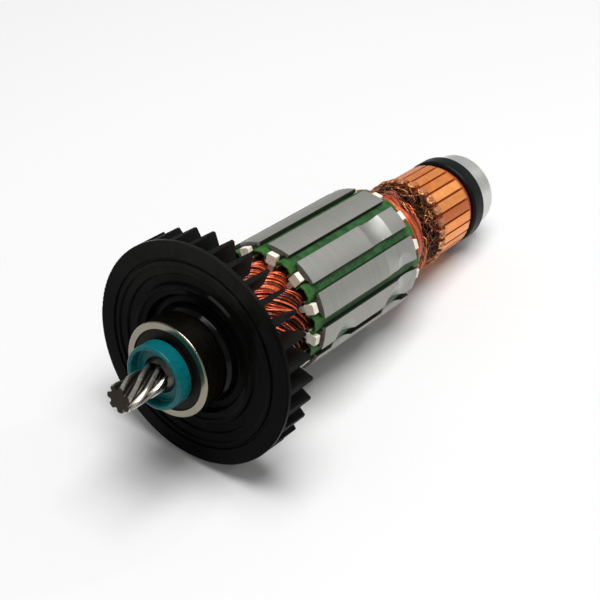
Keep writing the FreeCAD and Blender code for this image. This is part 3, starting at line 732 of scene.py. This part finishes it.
def rear_turns():
    t = Tubes()
    # lower coils, side by side all round
    for k in range(12):
        psi = SLOT0 + 30 * k
        # painted shade: coils between psi 36 and 116, on the lower side, take the darker wire copies
        dark = 66 < (psi + 30) % 360 < 146
        for j in range(12):
            a = (j + 0.5) / 12
            keys = []
            for f in (0.0, 0.1, 0.25, 0.5, 0.75, 0.92, 1.0):
                swell = math.sin(math.pi * min(1.0, max(0.0, f))) ** 0.6
                s = 70.4 + (1.4 + 5.6 * a) * swell + rng.uniform(-0.05, 0.05)
                r = 12.6 + (2.0 - 0.9 * max(0.0, a - 0.35)) * swell + rng.uniform(-0.05, 0.05)
                keys.append((s, r, psi - 8 + f * 76))
            t.add([W(*q) for q in smooth_path(keys, 18)], 0.00024, 6, rng.choice((4, 4, 2, 1) if dark else (1, 3, 3, 2)))
    # the coils wound last: wires that run together over the others and fan out again
    for c in (53.0, 158.0, 235.0, 318.0):
        for layer in range(2):
            n = 13 - layer
            for j in range(n):
                a = 2.0 * (j + 0.5 * (1 + layer)) / n - 1.0
                lead_a = 7.0 + 14.0 * abs(a) + rng.uniform(0.0, 9.0)
                s_a = 78.2 + 4.6 * a + rng.uniform(-1.2, 1.2)
                keys = [(s_a - 0.3, end_r(s_a) - 0.55, c - 29 - lead_a - 9), (s_a, end_r(s_a) + 0.08, c - 29 - lead_a)]
                for f in (0.0, 0.14, 0.3, 0.5, 0.7, 0.86, 1.0):
                    s = 76.0 + 2.5 * a * (math.sin(math.pi * f) ** 0.9 if 0 < f < 1 else 0.0) + 1.15 * a + rng.uniform(-0.12, 0.12)
                    lift = 0.42 * math.sin(math.pi * min(1.0, max(0.0, f))) ** 0.6 + 0.1
                    keys.append((s, end_r(s) + lift - 0.4 * layer - 0.12 * abs(a) + rng.uniform(-0.05, 0.05), c - 27 + 54 * f))
                keys.append((76.3 + 0.6 * a, end_r(76.3) - 0.7, c + 33 + rng.uniform(0, 5)))
                # red towards the commutator's side, orange towards the core
                tone = rng.random() + 0.3 * (a + 1.0)
                t.add([W(*q) for q in smooth_path(keys, 30)], 0.00024, 7, 0 if tone < 0.74 else (1 if tone < 1.32 else 2))
    return t.build("rear_end_turns", [M["band"], M["band2"], M["wire3"], M["band3"], M["lead2"]])


def end_r(s_):
    """Outline of the rear end turns."""
    return float(np.interp(s_, (70.5, 71.5, 72.8, 74.5, 76.5, 78.5, 80.5, 83.0, 86.0), (12.9, 14.3, 14.95, 15.0, 14.6, 14.1, 13.6, 13.1, 12.8)))


def tangle_r(s_):
    """Outline of the leads' mass between the end turns and the hooks."""
    return float(np.interp(s_, (72.0, 75.0, 78.0, 80.0, 82.0, 84.0, 86.0, 88.0, 90.0, 92.0),
                           (14.9, 14.8, 14.35, 13.8, 13.2, 12.8, 12.6, 12.65, 12.85, 12.9)))


def lead_wires():
    t = Tubes()
    for k in range(24):
        psi1 = 4.4 + 15 * k
        # wires that leave the hook and turn sideways
        for j in range(5):
            deep = rng.random() ** 0.8
            turn = rng.choice((1, 1, 1, -1)) * rng.uniform(4.0, 22.0)
            s1 = rng.uniform(82.5, 87.0)
            side = (1.2 if j % 2 else -1.2) + rng.uniform(-0.5, 0.5)
            keys = []
            for i in range(6):
                f = i / 5
                s_ = 91.6 + (s1 - 91.6) * f ** 0.85
                keys.append((s_, tangle_r(s_) - 0.1 - 0.8 * deep * min(1.0, 3 * f) + rng.uniform(-0.12, 0.16) * min(1.0, 3 * f),
                             psi1 + side * 4.5 * (1 - f) * 0.6 + turn * f ** 1.8 + rng.uniform(-0.8, 0.8) * min(1.0, 2 * f)))
            # painted shade: deeper wires take the darker copies
            tone = rng.random() + 0.35 * deep
            t.add([W(*q) for q in smooth_path(keys, 16)], rng.choice((0.0002, 0.00022, 0.00024)), 6,
                  0 if tone < 0.38 else (1 if tone < 0.8 else 2))
        # a net of short wires that cross both ways
        open_side = 80 < psi1 < 134
        for j in range(30 if open_side else 17):
            s0 = rng.uniform(71.9 if open_side else 76.5, 89.5)
            p0 = psi1 + rng.uniform(-7.5, 7.5)
            deep = rng.random()
            if rng.random() < 0.5:
                ds, dp = rng.uniform(2.0, 4.5) * rng.choice((1, -1)), rng.uniform(5, 20)
            else:
                ds, dp = rng.uniform(-1.2, 1.2), rng.uniform(14, 34)
            ph = rng.uniform(0, 6.28)
            keys = []
            for i in range(5):
                f = i / 4
                s_ = min(89.5, s0 + ds * (f - 0.5) + 0.25 * math.sin(ph + 4 * f))
                r_ = tangle_r(s_) - 0.15 - 0.75 * deep + 0.25 * math.sin(math.pi * f) - (0.9 if i in (0, 4) else 0.0)
                keys.append((s_, r_ + rng.uniform(-0.06, 0.06), p0 + dp * (f - 0.5)))
            # painted shade: deeper wires take the darker copies
            tone = rng.random() + 0.4 * deep
            t.add([W(*q) for q in smooth_path(keys, 12)], rng.choice((0.00014, 0.00017, 0.0002)), 5,
                  0 if tone < 0.3 else (1 if tone < 0.72 else 2))
        # thin turns that run on round the mass from the last coils
        for j in range(2):
            s0 = rng.uniform(76.0, 81.5)
            dp = rng.uniform(24.0, 52.0)
            ph = rng.uniform(0, 6.28)
            p0 = psi1 + rng.uniform(-8.0, 8.0)
            keys = []
            for i in range(7):
                f = i / 6
                s_ = s0 + 2.6 * (0.5 - f) + 0.2 * math.sin(ph + 3 * f)
                keys.append((s_, tangle_r(s_) - 0.12 - (1.7 if i in (0, 6) else 0.0) + rng.uniform(-0.05, 0.05), p0 + dp * (f - 0.5)))
            t.add([W(*q) for q in smooth_path(keys, 18)], 0.00018, 6, rng.choice((3, 3, 0, 4)))
    o = t.build("lead_wires", [M["lead"], M["lead2"], M["lead3"], M["wire2"], M["wire"]])
    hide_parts("winding_leads")
    return o


def hook_pads():
    """Flattened, fused hooks: a rounded pad round a deep dimple, and the wire's turn at its foot."""
    bm = bmesh.new()
    for k in range(24):
        psi = 4.4 + 15 * k
        ls = 1.28 + rng.uniform(-0.12, 0.16)
        lw = 1.0 + rng.uniform(-0.08, 0.06)
        sc = 91.0 + rng.uniform(-0.2, 0.2)
        top = 1.0 + rng.uniform(-0.03, 0.03)
        dim = rng.uniform(0.13, 0.19)
        dx, dy = rng.uniform(-0.12, 0.12), rng.uniform(-0.08, 0.08)
        skew = rng.uniform(-0.18, 0.18)
        rings, seg = 12, 24
        rows = []

        def height(q, x, y):
            h = top * (1 - q ** 2.8) ** 0.75 if q < 1 else -0.25
            return h - dim * math.exp(-((x - dx) ** 2 + (y - dy) ** 2) / 0.42 ** 2 * 0.42)

        centre = bm.verts.new(WL(sc, skew, 12.5 + height(0.0, 0.0, 0.0), psi))
        for i in range(1, rings + 1):
            q = i / rings
            row = []
            for j in range(seg):
                a = 2 * math.pi * j / seg
                ca, sa = math.cos(a), math.sin(a)
                m_ = (abs(ca) ** 2.4 + abs(sa) ** 2.4) ** (-1 / 2.4)
                x, y = q * m_ * ca, q * m_ * sa
                row.append(bm.verts.new(WL(sc + ls * x, skew * (1 - q * 0.5) + lw * y, 12.5 + height(q, x * ls, y * lw), psi)))
            rows.append(row)
        for j in range(seg):
            bm.faces.new((centre, rows[0][j], rows[0][(j + 1) % seg]))
        for a_, b_ in zip(rows[:-1], rows[1:]):
            for j in range(seg):
                j2 = (j + 1) % seg
                bm.faces.new((a_[j], b_[j], b_[j2], a_[j2]))
    bmesh.ops.recalc_face_normals(bm, faces=bm.faces)
    me = bpy.data.meshes.new("commutator_hooks")
    bm.to_mesh(me)
    bm.free()
    me.polygons.foreach_set("use_smooth", [True] * len(me.polygons))
    me.materials.append(M["hook"])
    o = bpy.data.objects.new("commutator_hooks", me)
    scene.collection.objects.link(o)
    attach(o, "rotor")
    # wire turns round each hook
    t = Tubes()
    for k in range(24):
        psi = 4.4 + 15 * k
        for j in range(2):
            keys = []
            for i in range(9):
                a = math.radians(-75 + 330 * i / 8)
                keys.append((90.9 - (1.32 + 0.22 * j) * math.cos(a), 12.5 + 0.4 * j + rng.uniform(-0.05, 0.05),
                             psi + math.degrees((1.12 + 0.12 * j) * math.sin(a) / 12.6)))
            t.add([W(*q) for q in smooth_path(keys, 18)], 0.00021, 6, rng.choice((0, 1, 1)))
    t.build("hook_wires", [M["hook"], M["lead"]])


fillers()
front_turns()
rear_turns()
lead_wires()
hook_pads()

# -------------------------------------------------------------- stage, light
def m_floor():
    mt, nt, b = material("pale_floor")
    q = G(nt)
    tc = q.new("ShaderNodeTexCoord")
    n = q.noise(tc.outputs["Object"], 3.0, 2, 0.5)
    base = q.ramp(n, [(0.0, (0.79, 0.79, 0.79)), (1.0, (0.82, 0.82, 0.82))])
    finish_mat(b, q, base, 0.9, 0.0, None, 0.0, 0.1, 0.1)
    return mt


bpy.ops.mesh.primitive_plane_add(size=6.0, location=(0, 0, 0))
floor = bpy.context.object
floor.name = "floor"
floor.data.materials.append(m_floor())

world = bpy.data.worlds.new("studio")
scene.world = world
world.use_nodes = True
wt = world.node_tree
wq = G(wt)
bg = wt.nodes["Background"]
tcw = wq.new("ShaderNodeTexCoord")
sep = wq.new("ShaderNodeSeparateXYZ")
wq.put(sep.inputs[0], tcw.outputs["Generated"])
sky = wq.ramp(sep.outputs[2], [(0.0, (0.28, 0.28, 0.278)), (0.3, (0.36, 0.36, 0.357)), (0.55, (0.42, 0.42, 0.42)),
                               (0.75, (0.25, 0.25, 0.252)), (1.0, (0.15, 0.15, 0.152))])
wq.put(bg.inputs[0], sky)
bg.inputs[1].default_value = 1.0


def area(name, loc, size, power, size_y=None, target=(0.0, 0.0, 0.02), color=(1, 1, 1)):
    d = bpy.data.lights.new(name, "AREA")
    d.energy = power
    d.color = color
    d.shape = "RECTANGLE" if size_y else "SQUARE"
    d.size = size
    if size_y:
        d.size_y = size_y
    o = bpy.data.objects.new(name, d)
    scene.collection.objects.link(o)
    o.location = loc
    o.rotation_euler = (Vector(target) - Vector(loc)).to_track_quat("-Z", "Y").to_euler()
    return o


area("softbox", (0.0, -0.10, 0.95), 0.6, 9.6)
area("lamp", (0.59, -0.27, 0.48), 0.04, 0.35)
